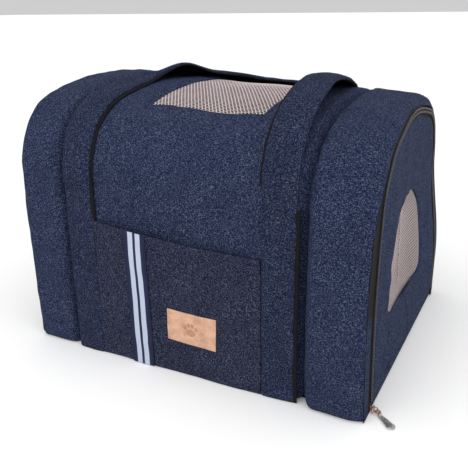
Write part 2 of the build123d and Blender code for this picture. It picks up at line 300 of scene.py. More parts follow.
def cut_faces(piece, inside):
    """Deletes the faces whose middles the test picks."""
    pick(piece)
    middles = np.array([face.center[:] for face in piece.data.polygons])
    chosen = inside(middles[:, 0], middles[:, 1])
    bpy.ops.object.mode_set(mode="EDIT")
    bpy.ops.mesh.select_all(action="DESELECT")
    bpy.ops.object.mode_set(mode="OBJECT")
    piece.data.polygons.foreach_set("select", chosen)
    bpy.ops.object.mode_set(mode="EDIT")
    bpy.context.tool_settings.mesh_select_mode = (False, False, True)
    bpy.ops.mesh.delete(type="FACE")
    bpy.ops.object.mode_set(mode="OBJECT")


def wrap(piece, relief=wrap_relief, lift=0.0):
    """Lays a flat piece over the loaf; the relief fades out towards the inside of the padding."""
    x, t, out = places(piece).T
    out = out + lift
    shown = smooth(out, -PADDING, -0.0005)
    height = relief(x, t)
    backing = np.minimum(height + PADDING - 0.003, 0) if relief is wrap_relief else 0
    set_places(piece, on_loaf(x, t, out + height * shown + backing * (1 - shown)))
    return piece


def finish(piece, body, material, *nodes):
    """Smooths a piece, gives it its material and body, and hides the plain parts it stands for."""
    pick(piece)
    bpy.ops.object.shade_smooth_by_angle(angle=math.radians(38))
    piece.data.materials.clear()
    piece.data.materials.append(MATERIALS[material])
    if body:
        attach(piece, body)
    if nodes:
        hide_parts(*nodes)
    return piece


def join(name, *pieces):
    """One piece out of several."""
    clear_selection()
    for part in pieces:
        part.select_set(True)
    bpy.context.view_layer.objects.active = pieces[0]
    if len(pieces) > 1:
        bpy.ops.object.join()
    return rename(pieces[0], name)


def stitch_row(start, end, level=0.0006, pitch=0.0036, size=(0.0023, 0.0008, 0.0006)):
    """A row of thread stitches in flat cloth coordinates."""
    clear_selection()
    run = Vector(end) - Vector(start)
    count = max(int(run.length / pitch), 1)
    bpy.ops.mesh.primitive_uv_sphere_add(segments=6, ring_count=4, radius=0.5, location=(0, 0, 0))
    piece = bpy.context.object
    turn = math.atan2(run.y, run.x)
    shape = places(piece) * np.array(size)
    cos_turn, sin_turn = math.cos(turn), math.sin(turn)
    x = shape[:, 0] * cos_turn - shape[:, 1] * sin_turn + start[0] + run.x / count / 2
    y = shape[:, 0] * sin_turn + shape[:, 1] * cos_turn + start[1] + run.y / count / 2
    set_places(piece, np.stack((x, y, shape[:, 2] + level), 1))
    return repeat(piece, count, (run.x / count, run.y / count, 0))


# ---------------------------------------------------------------- materials
class Socket:
    """A value in a material; sums and products of it add Math nodes."""

    def __init__(self, maker, link):
        self.maker, self.link = maker, link

    def maths(self, operation, *values):
        return self.maker.node("ShaderNodeMath", 0, operation=operation, inputs=(self, *values))

    def __add__(self, other):
        return self.maths("ADD", other)

    def __mul__(self, other):
        return self.maths("MULTIPLY", other)

    def __sub__(self, other):
        return self.maths("SUBTRACT", other)

    def __rsub__(self, other):
        return (self * -1) + other

    def band(self, low, high):
        """0 below low, 1 above high."""
        return self.maker.node(
            "ShaderNodeMapRange", 0, interpolation_type="SMOOTHSTEP",
            inputs={"Value": self, "From Min": low, "From Max": high},
        )


def socket_name(word):
    """A shader socket's own name from a plain keyword."""
    return word.replace("_", " ").title().replace("Ior", "IOR")


class Finish:
    """A material being mixed: a Principled shader and the nodes that feed it."""

    def __init__(self, name, slot, **constants):
        self.material = bpy.data.materials.new(name)
        self.material.use_nodes = True
        self.tree = self.material.node_tree
        self.shader = self.tree.nodes["Principled BSDF"]
        for socket, value in constants.items():
            self.shader.inputs[socket_name(socket)].default_value = value
        MATERIALS[name] = self.material
        SLOT_OF[name] = slot

    def node(self, kind, output=0, inputs=(), **settings):
        node = self.tree.nodes.new(kind)
        for setting, value in settings.items():
            setattr(node, setting, value)
        pairs = inputs.items() if isinstance(inputs, dict) else enumerate(inputs)
        for key, value in pairs:
            if isinstance(value, Socket):
                self.tree.links.new(value.link, node.inputs[key])
            elif value is not None:
                node.inputs[key].default_value = value
        return Socket(self, node.outputs[output])

    def place(self):
        return self.node("ShaderNodeTexCoord", "Object")

    def cloth_place(self):
        return self.node("ShaderNodeTexCoord", "UV")

    def stretch(self, place, scale, turn=0.0):
        return self.node(
            "ShaderNodeMapping", 0, inputs={"Vector": place, "Scale": scale, "Rotation": (0, 0, turn)},
        )

    def noise(self, place, scale, detail=2.0, rough=0.5):
        return self.node(
            "ShaderNodeTexNoise", 0,
            inputs={"Vector": place, "Scale": scale, "Detail": detail, "Roughness": rough},
        )

    def wave(self, place, scale, axis="X", bend=0.0):
        return self.node(
            "ShaderNodeTexWave", "Fac", bands_direction=axis,
            inputs={"Vector": place, "Scale": scale, "Distortion": bend},
        )

    def axis(self, place, name):
        return self.node("ShaderNodeSeparateXYZ", name, inputs=(place,))

    def mix(self, part, first, second):
        """Blends two colours, each a colour or a link."""
        inputs = {0: part, 6: (*first, 1) if isinstance(first, tuple) else first,
                  7: (*second, 1) if isinstance(second, tuple) else second}
        return self.node("ShaderNodeMix", 2, data_type="RGBA", inputs=inputs)

    def feed(self, **links):
        for socket, value in links.items():
            self.tree.links.new(value.link, self.shader.inputs[socket_name(socket)])

    def bump(self, height, distance, strength=1.0):
        bumped = self.node(
            "ShaderNodeBump", 0, inputs={"Height": height, "Distance": distance, "Strength": strength},
        )
        self.tree.links.new(bumped.link, self.shader.inputs["Normal"])


MATERIALS, SLOT_OF = {}, {}


def denim(name, dark, body, pale, wear):
    """Heathered indigo denim: dark ground, blue yarn, pale slubs and a fine twill."""
    cloth_finish = Finish(name, "denim", roughness=0.92, specular_ior_level=0.06)
    place = cloth_finish.place()
    flat = cloth_finish.cloth_place()
    yarn = cloth_finish.noise(place, 1250.0, 1.5, 0.6)
    slub = cloth_finish.noise(place, 860.0, 1.5, 0.6)
    cloud = cloth_finish.noise(place, 30.0, 3.0, 0.55)
    streak = cloth_finish.noise(cloth_finish.stretch(flat, (260.0, 1500.0, 1.0), 0.7), 1.0, 2.0, 0.6)
    twill = cloth_finish.wave(cloth_finish.stretch(flat, (1.0, 1.0, 1.0), 1.05), 330.0, "X", 0.6)
    blue = cloth_finish.mix(yarn.band(0.36, 0.66), dark, body)
    flecks = (slub.band(0.50, 0.66) * 0.6 + streak.band(0.56, 0.72) * 0.4) * (cloud * 0.9 + 0.55)
    worn = cloth_finish.mix(flecks * wear, blue, pale)
    cloth_finish.feed(base_color=worn, roughness=slub * 0.2 + 0.78)
    cloth_finish.bump(twill * 0.5 + yarn * 0.8 + slub * 0.7, 0.0006, 0.75)


denim("denim", (0.0030, 0.0055, 0.020), (0.018, 0.027, 0.076), (0.30, 0.36, 0.52), 0.44)
denim("strap_denim", (0.0028, 0.0045, 0.016), (0.015, 0.021, 0.060), (0.27, 0.32, 0.47), 0.40)
denim("pocket_denim", (0.0035, 0.0050, 0.016), (0.018, 0.022, 0.052), (0.30, 0.33, 0.45), 0.42)


def woven_tape(name, slot, dark, light, ribs):
    """Flat woven tape with fine ribs across it."""
    tape = Finish(name, slot, roughness=0.85, specular_ior_level=0.08)
    flat = tape.cloth_place()
    rib = tape.wave(flat, ribs, "Y", 0.4)
    grain = tape.noise(tape.place(), 900.0, 2.0, 0.6)
    tape.feed(base_color=tape.mix(rib * 0.5 + grain * 0.5, dark, light), roughness=grain * 0.3 + 0.6)
    tape.bump(rib * 0.7 + grain * 0.5, 0.0003, 0.7)


woven_tape("black_tape", "black_tape", (0.0035, 0.0035, 0.0045), (0.016, 0.015, 0.019), 520.0)
woven_tape("thread", "denim", (0.014, 0.018, 0.042), (0.050, 0.062, 0.115), 900.0)
woven_tape("black_thread", "black_tape", (0.004, 0.004, 0.006), (0.02, 0.02, 0.03), 900.0)

lining_finish = Finish("lining", "lining", roughness=0.6, specular_ior_level=0.2)
lining_weave = lining_finish.noise(lining_finish.place(), 1400.0, 2.0, 0.6)
# Painted shade: the fold noise also sets the colour, darker in the fold hollows and lighter on the crests.
lining_fold_and_shade = lining_finish.noise(lining_finish.place(), 22.0, 3.0, 0.5)
lining_finish.feed(
    base_color=lining_finish.mix(
        lining_weave * 0.5 + lining_fold_and_shade * 0.5, (0.006, 0.006, 0.009), (0.018, 0.019, 0.026),
    ),
    roughness=lining_weave * 0.3 + 0.45,
)
lining_finish.bump(lining_weave * 0.3 + lining_fold_and_shade, 0.002, 0.4)

net_finish = Finish("net", "mesh", roughness=0.75, specular_ior_level=0.15)
net_yarn = net_finish.noise(net_finish.place(), 1300.0, 2.0, 0.6)
net_cloud = net_finish.noise(net_finish.place(), 26.0, 2.0, 0.5)
net_finish.feed(
    base_color=net_finish.mix(net_yarn * 0.5 + net_cloud * 0.5, (0.52, 0.41, 0.41), (0.86, 0.75, 0.75)),
    roughness=net_yarn * 0.3 + 0.6,
)
net_finish.bump(net_yarn, 0.0004, 0.8)

coil_finish = Finish("zip_coil", "zip_coil", roughness=0.35, specular_ior_level=0.5)
coil_glint = coil_finish.noise(coil_finish.place(), 700.0, 1.0, 0.5)
coil_finish.feed(
    base_color=coil_finish.mix(coil_glint.band(0.5, 0.72), (0.008, 0.007, 0.009), (0.075, 0.038, 0.034)),
    roughness=coil_glint * 0.3 + 0.25,
)

ribbon_finish = Finish("ribbon", "ribbon", roughness=0.8, specular_ior_level=0.12)
ribbon_flat = ribbon_finish.cloth_place()
ribbon_x = ribbon_finish.axis(ribbon_flat, "X")
ribbon_middle = (ribbon_x + 0.052).maths("ABSOLUTE")
ribbon_stripe = ribbon_middle.band(0.0014, 0.0020) * (1 - ribbon_middle.band(0.0078, 0.0084))
ribbon_rib = ribbon_finish.wave(ribbon_flat, 480.0, "Y", 0.2)
ribbon_grain = ribbon_finish.noise(ribbon_finish.place(), 1200.0, 2.0, 0.6)
ribbon_dark = ribbon_finish.mix(
    ribbon_rib * 0.6 + ribbon_grain * 0.4, (0.008, 0.010, 0.035), (0.035, 0.042, 0.10),
)
ribbon_pale = ribbon_finish.mix(
    ribbon_rib * 0.5 + ribbon_grain * 0.5, (0.34, 0.40, 0.56), (0.66, 0.72, 0.84),
)
ribbon_finish.feed(
    base_color=ribbon_finish.mix(ribbon_stripe, ribbon_dark, ribbon_pale),
    roughness=ribbon_grain * 0.2 + 0.7,
)
ribbon_finish.bump(ribbon_rib, 0.0003, 0.6)

leather_finish = Finish("leather", "leather", roughness=0.55, specular_ior_level=0.25)
leather_grain = leather_finish.noise(leather_finish.place(), 1100.0, 3.0, 0.6)
leather_cloud = leather_finish.noise(leather_finish.place(), 90.0, 3.0, 0.6)
leather_pore = leather_finish.node(
    "ShaderNodeTexVoronoi", "Distance", inputs={"Vector": leather_finish.place(), "Scale": 1500.0},
)
leather_face = leather_finish.mix(leather_cloud.band(0.3, 0.7), (0.47, 0.245, 0.155), (0.68, 0.40, 0.27))
label_x = leather_finish.axis(leather_finish.place(), "X") - 0.0142
label_z = leather_finish.axis(leather_finish.place(), "Z") - 0.0590


def print_spot(x, z, half_wide, half_tall):
    """A soft-edged oval of the pressed paw, 1 inside and 0 outside."""
    across, up = (label_x - x) * (1 / half_wide), (label_z - z) * (1 / half_tall)
    return 1 - (across * across + up * up).band(0.8, 1.15)


paw = print_spot(0.0, -0.0030, 0.0058, 0.0044)
for toe_x, toe_z in ((-0.0068, 0.0026), (-0.0025, 0.0062), (0.0025, 0.0062), (0.0068, 0.0026)):
    paw = paw.maths("MAXIMUM", print_spot(toe_x, toe_z, 0.0019, 0.0027))
leather_face = leather_finish.mix(paw * 0.8, leather_face, (0.36, 0.150, 0.060))
leather_finish.feed(
    base_color=leather_finish.mix(leather_grain.band(0.35, 0.8) * 0.5, leather_face, (0.78, 0.54, 0.40)),
    roughness=leather_grain * 0.25 + 0.45,
)
leather_finish.bump(leather_grain * 0.4 + leather_pore * 0.5 - paw, 0.0004, 0.7)
woven_tape("label_thread", "leather", (0.50, 0.36, 0.27), (0.80, 0.66, 0.55), 900.0)

pad_finish = Finish("pad_cover", "pad", roughness=0.9, specular_ior_level=0.1)
pad_weave = pad_finish.noise(pad_finish.place(), 900.0, 2.0, 0.6)
pad_cloud = pad_finish.noise(pad_finish.place(), 24.0, 3.0, 0.5)
pad_finish.feed(
    base_color=pad_finish.mix(pad_weave * 0.6 + pad_cloud * 0.4, (0.035, 0.040, 0.060), (0.13, 0.14, 0.18)),
    roughness=pad_weave * 0.2 + 0.75,
)
pad_finish.bump(pad_weave, 0.0006, 0.8)

board_finish = Finish("board", "board", roughness=0.5, specular_ior_level=0.4)
board_grain = board_finish.noise(board_finish.place(), 500.0, 3.0, 0.6)
board_finish.feed(
    base_color=board_finish.mix(board_grain, (0.03, 0.03, 0.034), (0.07, 0.07, 0.075)),
    roughness=board_grain * 0.3 + 0.4,
)
board_finish.bump(board_grain, 0.0003, 0.5)


def metal(name, slot, dull, bright, rough):
    """Plated or cast metal with fine scratches and duller patches."""
    plate = Finish(name, slot, metallic=1.0, roughness=rough)
    patch = plate.noise(plate.place(), 320.0, 3.0, 0.6)
    scratch = plate.noise(plate.stretch(plate.place(), (300.0, 2600.0, 300.0), 0.6), 1.0, 2.0, 0.6)
    plate.feed(
        base_color=plate.mix(patch.band(0.35, 0.7), dull, bright),
        roughness=patch * 0.25 + scratch * 0.2 + rough - 0.15,
    )
    plate.bump(scratch, 0.00008, 0.6)


metal("slider_metal", "slider_metal", (0.32, 0.20, 0.15), (0.78, 0.58, 0.46), 0.38)
metal("link_metal", "link_metal", (0.34, 0.20, 0.14), (0.80, 0.56, 0.42), 0.36)
metal("puller_metal", "puller_metal", (0.30, 0.30, 0.29), (0.72, 0.71, 0.68), 0.42)


# ---------------------------------------------------------------- the wrap
ALONG = spread(
    -HALF_ARC + HEM, 10, -HALF_ARC + 0.03, 88, -WINDOW_T, 72, WINDOW_T, 88, HALF_ARC - 0.03, 10,
    HALF_ARC - HEM,
)


def top_hole(grow):
    """A test for cloth inside the top window, grown by a margin."""
    return lambda x, t: (x > WINDOW_X[0] - grow) & (x < WINDOW_X[1] + grow) & (np.abs(t) < WINDOW_T + grow)


def wrap_section(name, across, nodes, hole=False):
    """One padded section of the wrap, cut flat, given its thickness and laid over the loaf."""
    section = cloth(name, across, ALONG)
    if hole:
        cut_faces(section, top_hole(0))
    modify(section, "SOLIDIFY", thickness=PADDING, offset=-1)
    wrap(section)
    finish(section, "shell", "denim", *nodes)
    return section


left_wrap = wrap_section(
    "left_wrap", spread(END_X, 6, END_X + 0.008, 12, LEFT_SEAM - 0.012, 8, LEFT_SEAM - 0.0002),
    ("left_skin", "left_foam"),
)
middle_wrap = wrap_section(
    "middle_wrap",
    spread(
        LEFT_SEAM + 0.0002, 8, LEFT_SEAM + 0.012, 20, WINDOW_X[0] - 0.010, 6, WINDOW_X[0],
        40, WINDOW_X[1], 6, WINDOW_X[1] + 0.010, 16, RIGHT_SEAM - 0.012, 8, RIGHT_SEAM - 0.0002,
    ),
    ("middle_skin", "front_foam", "back_foam", "top_foam"),
    hole=True,
)
right_wrap = wrap_section(
    "right_wrap", spread(RIGHT_SEAM + 0.0002, 9, RIGHT_SEAM + 0.014, 12, RIM_X - 0.0150, 14, RIM_X),
    ("right_skin", "right_foam"),
)

# Cabin lining inside the wrap, and the tapes that bind its seams
cabin_cloth = cloth(
    "cabin_cloth",
    spread(-0.1990, 50, WINDOW_X[0] - 0.004, 30, WINDOW_X[1] + 0.004, 46, 0.1980),
    spread(-HALF_ARC + HEM, 90, -WINDOW_T - 0.004, 60, WINDOW_T + 0.004, 90, HALF_ARC - HEM),
)
cut_faces(cabin_cloth, top_hole(0.003))
modify(cabin_cloth, "SOLIDIFY", thickness=LINING_THICK, offset=-1)
wrap(cabin_cloth, lift=-PADDING - 0.0002)
finish(cabin_cloth, "shell", "lining", "cabin_lining")
for seam_x, node in ((LEFT_SEAM, "left_seam_tape"), (RIGHT_SEAM, "right_seam_tape")):
    binding = cloth("binding_" + node.split("_")[0], spread(seam_x - 0.009, 6, seam_x + 0.009), ALONG)
    modify(binding, "SOLIDIFY", thickness=0.0009, offset=-1)
    wrap(binding, lift=-PADDING - 0.0010)
    finish(binding, "shell", "black_tape", node)


# ---------------------------------------------------------------- nets
NET_CELL, TOP_BAR, END_BAR = 0.00247, 0.00046, 0.00037


def net(name, low, high, bar):
    """A flat honeycomb net over a rectangle, its holes cut through."""
    clear_selection()
    wide, tall = math.sqrt(3) * NET_CELL, 3 * NET_CELL
    bpy.ops.mesh.primitive_circle_add(
        vertices=6, radius=NET_CELL, fill_type="NGON", location=(low[0], low[1], 0),
    )
    piece = rename(bpy.context.object, name)
    bpy.ops.object.transform_apply(location=True, rotation=False, scale=False)
    pick(piece)
    bpy.ops.object.mode_set(mode="EDIT")
    bpy.ops.mesh.select_all(action="SELECT")
    bpy.ops.mesh.duplicate_move(TRANSFORM_OT_translate={"value": (wide / 2, tall / 2, 0)})
    bpy.ops.object.mode_set(mode="OBJECT")
    columns = int((high[0] - low[0]) / wide) + 2
    rows = int((high[1] - low[1]) / tall) + 2
    repeat(piece, columns, (wide, 0, 0))
    repeat(piece, rows, (0, tall, 0))
    pick(piece)
    bpy.ops.object.mode_set(mode="EDIT")
    bpy.ops.mesh.select_all(action="SELECT")
    bpy.ops.mesh.remove_doubles(threshold=NET_CELL * 0.05)
    bpy.ops.mesh.select_all(action="SELECT")
    bpy.ops.mesh.inset(thickness=bar, use_individual=True, use_even_offset=True)
    bpy.ops.mesh.delete(type="FACE")
    bpy.ops.object.mode_set(mode="OBJECT")
    return piece


net_t = WINDOW_T + 0.006
top_net = net("top_net", (WINDOW_X[0] - 0.006, -net_t), (WINDOW_X[1] + 0.006, net_t), TOP_BAR)
cut_faces(top_net, lambda x, t: (x > WINDOW_X[1] + 0.006) | (np.abs(t) > net_t))
modify(top_net, "SOLIDIFY", thickness=NET_THICK, offset=0)
wrap(top_net, lambda x, t: -0.0016 + 0.0010 * rumple(x, t, SLOW_RUMPLES), lift=-0.0016)
finish(top_net, "shell", "net", "top_mesh")

# ---------------------------------------------------------------- end panels
def outline_points(inset, low_z):
    """The arch outline at an inset, closed along its foot, as Y, Z."""
    t = np.linspace(-HALF_ARC + low_z, HALF_ARC - low_z, 900)
    y, z, across, up = arch(t)
    y, z = y - across * inset, z - up * inset
    foot = np.linspace(y[-1], y[0], 300)[1:-1]
    return np.concatenate((y, foot)), np.concatenate((z, np.full(len(foot), low_z)))


def window_points(grow):
    """The arched end window grown by a margin, as Y, Z."""
    high_y, high_z = END_WINDOW_HALF - END_WINDOW_SHOULDER, END_WINDOW_HIGH - END_WINDOW_SHOULDER
    low_y, low_z = END_WINDOW_HALF - END_WINDOW_FOOT, END_WINDOW_LOW + END_WINDOW_FOOT
    shoulder, foot = END_WINDOW_SHOULDER + grow, END_WINDOW_FOOT + grow
    outline = []
    for middle_y, middle_z, corner, quarter in (
        (high_y, high_z, shoulder, 0), (-high_y, high_z, shoulder, 1), (-low_y, low_z, foot, 2),
        (low_y, low_z, foot, 3),
    ):
        turn = np.linspace(quarter, quarter + 1, 60) * math.pi / 2
        outline.append(np.stack((middle_y + corner * np.cos(turn), middle_z + corner * np.sin(turn)), 1))
    outline = np.concatenate(outline + [outline[0][:1]])
    steps = np.concatenate(([0], np.cumsum(np.linalg.norm(np.diff(outline, axis=0), axis=1))))
    even = np.linspace(0, steps[-1], 1400, endpoint=False)
    return np.interp(even, steps, outline[:, 0]), np.interp(even, steps, outline[:, 1])


def reach(points, angle):
    """Distance from the window's middle to an outline in each direction."""
    y, z = points[0], points[1] - WINDOW_MIDDLE_Z
    directions = np.arctan2(z, y)
    order = np.argsort(directions)
    return np.interp(angle, directions[order], np.hypot(y, z)[order], period=2 * math.pi)


def ring_panel(name, outer, inner, rows, thickness, height, base_x, facing):
    """A padded panel between an outline and a window; height shapes its face, facing is +1 towards +X."""
    panel = cloth(name, spread(0.0, AROUND, 1.0), spread(0.0, rows, 1.0))
    modify(panel, "SOLIDIFY", thickness=thickness, offset=-1)
    around, part, out = places(panel).T
    angle = facing * around * 2 * math.pi - math.pi / 2
    far = reach(inner, angle) * (1 - part) + reach(outer, angle) * part
    y = far * np.cos(angle)
    z = WINDOW_MIDDLE_Z + far * np.sin(angle)
    shown = smooth(out, -thickness * 0.9, -thickness * 0.1)
    x = base_x + facing * (out + shown * height(part, y, z))
    layer = panel.data.uv_layers.active
    layer.data.foreach_set("uv", np.stack((y, z), 1)[corner_points(panel)].reshape(-1))
    set_places(panel, np.stack(soften(x, y, z), 1))
    return face_outward(panel, weld=0.00002)


def end_net(name, base_x, facing, shape):
    """A net over the end window, shaped by its own sag."""
    piece = net(name, (-0.082, -0.062), (0.082, 0.067), END_BAR)
    edge = window_points(0.004)

    def outside(y, z):
        return np.hypot(y, z) > reach(edge, np.arctan2(z, y))

    cut_faces(piece, outside)
    modify(piece, "SOLIDIFY", thickness=NET_THICK, offset=0)
    y, z, out = places(piece).T
    z = z + WINDOW_MIDDLE_Z
    x = base_x + facing * (out + shape(y, z))
    set_places(piece, np.stack(soften(x, facing * y, z), 1))
    return face_outward(piece)


def left_end_height(part, y, z):
    """The fixed end: stuffed between its window and its seam."""
    puff = 0.0045 * np.sin(np.clip(part, 0, 1) * math.pi) ** 0.8
    edge = -0.003 * smooth(part, 0.94, 1.0) ** 2 - 0.0022 * (1 - smooth(part, 0.0, 0.05))
    return puff + edge + 0.0009 * rumple(y, z, SLOW_RUMPLES) + 0.0004 * rumple(y, z, FINE_RUMPLES)


def window_sink(y, z):
    """How far the door's window lies behind the door's edge: deepest along its foot."""
    return (
        -0.0058 + 0.0062 * smooth(z, 0.08, 0.19)
        + 0.0014 * smooth(y, 0.0, 0.07) * (1 - smooth(z, 0.10, 0.14))
    )


def door_height(part, y, z):
    """The door: sunk round its window, with soft folds in its front part."""
    field = (
        window_sink(y, z) * (1 - smooth(part, 0.0, 0.85))
        + 0.0006 * np.sin(np.clip(part, 0, 1) * math.pi)
    )
    edge = -0.0012 * smooth(part, 0.95, 1.0) - 0.0012 * (1 - smooth(part, 0.0, 0.04))
    fold = 0.0030 * np.exp(-(((y + 0.106) / 0.018) ** 2)) * smooth(z, 0.03, 0.09) * (
        1 - smooth(z, 0.20, 0.26)
    )
    crease = -0.0026 * np.exp(-(((y + 0.080 + 0.10 * (0.075 - z)) / 0.0060) ** 2)) * (
        1 - smooth(z, 0.060, 0.085)
    )
    return (
        field + edge + fold + crease + 0.0009 * rumple(y, z, SLOW_RUMPLES)
        + 0.0005 * rumple(y, z, FINE_RUMPLES)
    )


left_end_panel = ring_panel(
    "left_end_panel", outline_points(0.0015, HEM), window_points(0), 26, 0.0085, left_end_height,
    END_X + 0.0005, -1,
)
finish(left_end_panel, "shell", "denim", "left_end_skin", "left_end_foam")
left_end_cloth = ring_panel(
    "left_end_cloth", outline_points(0.0100, HEM + 0.0065), window_points(0.006), 16, LINING_THICK,
    lambda part, y, z: 0 * y, -0.1998, -1,
)
finish(left_end_cloth, "shell", "lining", "left_end_lining")
left_end_net = end_net("left_end_net", END_X + 0.0022, -1, lambda y, z: 0.0008 * rumple(y, z, SLOW_RUMPLES))
finish(left_end_net, "shell", "net", "left_end_mesh")

door_panel = ring_panel(
    "door_panel", outline_points(0.0240, FOOT_Z), window_points(0), 26, 0.0078, door_height, 0.2098, 1,
)
finish(door_panel, "door", "denim", "door_skin", "door_foam")
door_cloth = ring_panel(
    "door_cloth", outline_points(0.0290, FOOT_Z + 0.001), window_points(0.006), 16, LINING_THICK,
    lambda part, y, z: 0 * y, 0.2014, 1,
)
finish(door_cloth, "door", "lining", "door_lining")


def door_net_shape(y, z):
    """The door's net hangs slack and buckles along one upright crease."""
    part = np.clip((y + 0.080) / 0.160, 0, 1)
    slack = -0.0040 * np.sin(part**1.25 * math.pi)
    crease = 0.0013 * np.exp(-np.abs(y + 0.024 + 0.10 * (z - 0.12)) / 0.0035) * smooth(z, 0.075, 0.10)
    return window_sink(y, z) + slack + crease + 0.0004 * rumple(y, z, SLOW_RUMPLES)


door_net = end_net("door_net", 0.2084, 1, door_net_shape)
finish(door_net, "door", "net", "door_mesh")


# ---------------------------------------------------------------- zip
def upright_band(name, x_back, thickness, inset_low, inset_high, low_z, rows=6):
    """A tape that stands on the doorway's face, its width between two insets."""
    band = cloth(
        name, spread(-inset_high, rows, -inset_low), spread(-HALF_ARC + low_z, 300, HALF_ARC - low_z),
    )
    modify(band, "SOLIDIFY", thickness=thickness, offset=1)
    out, t, raised = places(band).T
    x = x_back + raised
    if inset_low < 0.010:
        part = (out + inset_high) / (inset_high - inset_low)
        edge = np.minimum(rim_roll(t)[0] - 0.0010 - bulge(x, t), inset_high - 0.003)
        out = -inset_high + part * (inset_high - edge)
    set_places(band, on_loaf(x, t, out))
    return face_outward(band)


def coil(name, inset, low_z):
    """A row of coil loops: one loop modelled, then repeated along the tape."""
    clear_selection()
    pitch = 0.00245
    bpy.ops.mesh.primitive_cylinder_add(
        vertices=6, radius=0.00072, depth=0.0026, location=(0, 0, 0), end_fill_type="NGON",
    )
    loop = bpy.context.object
    rows = places(loop)
    lengthways = rows[:, 2]
    bow = 0.0004 * (1 - (np.abs(lengthways) / 0.0013) ** 2)
    start = -HALF_ARC + low_z
    set_places(
        loop,
        np.stack(
            (
                ZIP_X + 0.0009 + rows[:, 0] + bow, start + pitch + rows[:, 1] + lengthways * 0.25,
                lengthways - inset,
            ),
            1,
        ),
    )
    count = int(2 * (HALF_ARC - low_z) / pitch) - 1
    x, t, out = places(repeat(loop, count, (0, pitch, 0))).T
    set_places(loop, on_loaf(x, t, out))
    return rename(loop, name)


wrap_zip_tape = upright_band("wrap_zip_tape", 0.2080, 0.0008, 0.0022, 0.0174, HEM)
finish(wrap_zip_tape, "shell", "black_tape", "zip_tape_wrap")
door_zip_tape = upright_band("door_zip_tape", 0.2080, 0.0008, 0.0186, 0.0300, FOOT_Z)
finish(door_zip_tape, "door", "black_tape", "zip_tape_door")
wrap_coil = coil("wrap_coil", 0.0160, FOOT_Z)
finish(wrap_coil, "shell", "zip_coil", "zip_teeth_wrap")
door_coil = coil("door_coil", 0.0200, FOOT_Z)
finish(door_coil, "door", "zip_coil", "zip_teeth_door")

# ---------------------------------------------------------------- straps on the walls
strap_half = STRAP_WIDTH / 2


def strap_relief(x, t):
    """Straps ride over the padding without dipping into the seams."""
    return 0.6 * bulge(x, t)


def strap_crown(w):
    """Rounded edges and a slight fullness across a strap."""
    part = np.clip(np.abs(w) / strap_half, 0, 1)
    return 0.0007 * (1 - part**2) - 0.0012 * smooth(part, 0.88, 1.0) ** 2


def wall_strap(wall, side_name, strap_x, side, top_z):
    """A strap sewn up a wall: folded denim over black webbing; the black strip that shows along one edge is
    painted shade, standing in for the shadow at the strap's edge.
    """
    name, webbing_and_shade_line_name = f"{wall}_strap_cloth_{side_name}", f"{wall}_webbing_{side_name}"
    reach_t = HALF_ARC - top_z
    run = spread(-HALF_ARC + HEM, 80, -reach_t) if side < 0 else spread(reach_t, 80, HALF_ARC - HEM)
    band = cloth(name, strap_x + spread(-strap_half, 16, strap_half), run)
    modify(band, "SOLIDIFY", thickness=0.0030, offset=1)
    x, t, out = places(band).T
    fullness = strap_crown(x - strap_x) + 0.0004 * rumple(x, t, FINE_RUMPLES)
    set_places(band, np.stack((x, t, out + np.where(out > 0.001, fullness, 0) + STRAP_LIFT), 1))
    wrap(band, strap_relief)
    # Painted shade: the black webbing's strip beyond the strap's edge stands in for the shadow there.
    webbing_and_shade_line = cloth(webbing_and_shade_line_name, strap_x + spread(WEBBING_AND_SHADE_REACH[0], 16, WEBBING_AND_SHADE_REACH[1]), run)
    modify(webbing_and_shade_line, "SOLIDIFY", thickness=WEBBING_THICK, offset=1)
    wrap(webbing_and_shade_line, strap_relief, lift=0.0016)
    rows = []
    left_x, right_x = strap_x - strap_half + 0.0030, strap_x + strap_half - 0.0030
    for edge_x in (left_x, right_x):
        rows.append(stitch_row((edge_x, run[0] + 0.002, 0), (edge_x, run[-1] - 0.001, 0), 0.0037))
    for level_t in (side * (reach_t + 0.004), side * (reach_t + 0.022)):
        rows.append(stitch_row((left_x, level_t, 0), (right_x, level_t, 0), 0.0037))
    sewing = wrap(join(name + "_sewing", *rows), strap_relief)
    finish(band, "shell", "strap_denim", f"{wall}_strap_{side_name}")
    finish(webbing_and_shade_line, "shell", "black_tape")
    finish(sewing, "shell", "thread")


for strap_x, side_name in zip(STRAP_X, ("left", "right")):
    wall_strap("front", side_name, strap_x, -1, STITCH_Z)
    wall_strap("back", side_name, strap_x, 1, BACK_STITCH_Z)


# ---------------------------------------------------------------- handles
def smooth_path(stations, samples=700):
    """Centre line, side and outward directions along a strap through given stations, by true length."""
    centres = np.array([station[0] for station in stations], float) / 1000
    sides = np.array([station[1] for station in stations], float)
    knots = np.concatenate(([0], np.cumsum(np.linalg.norm(np.diff(centres, axis=0), axis=1))))
    slopes = np.gradient(centres, knots, axis=0)
    side_slopes = np.gradient(sides, knots, axis=0)
    place = np.linspace(0, knots[-1], samples)
    span = np.clip(np.searchsorted(knots, place, side="right") - 1, 0, len(knots) - 2)
    step = knots[span + 1] - knots[span]
    part = ((place - knots[span]) / step)[:, None]
    step = step[:, None]

    def hermite(values, slope):
        return (
            values[span] * (2 * part**3 - 3 * part**2 + 1)
            + slope[span] * step * (part**3 - 2 * part**2 + part)
            + values[span + 1] * (3 * part**2 - 2 * part**3)
            + slope[span + 1] * step * (part**3 - part**2)
        )

    line = hermite(centres, slopes)
    side = hermite(sides, side_slopes)
    heading = np.gradient(line, axis=0)
    heading /= np.linalg.norm(heading, axis=1)[:, None]
    side -= heading * (side * heading).sum(1)[:, None]
    side /= np.linalg.norm(side, axis=1)[:, None]
    out = np.cross(side, heading)
    length = np.concatenate(([0], np.cumsum(np.linalg.norm(np.diff(line, axis=0), axis=1))))
    return length, line, side, out


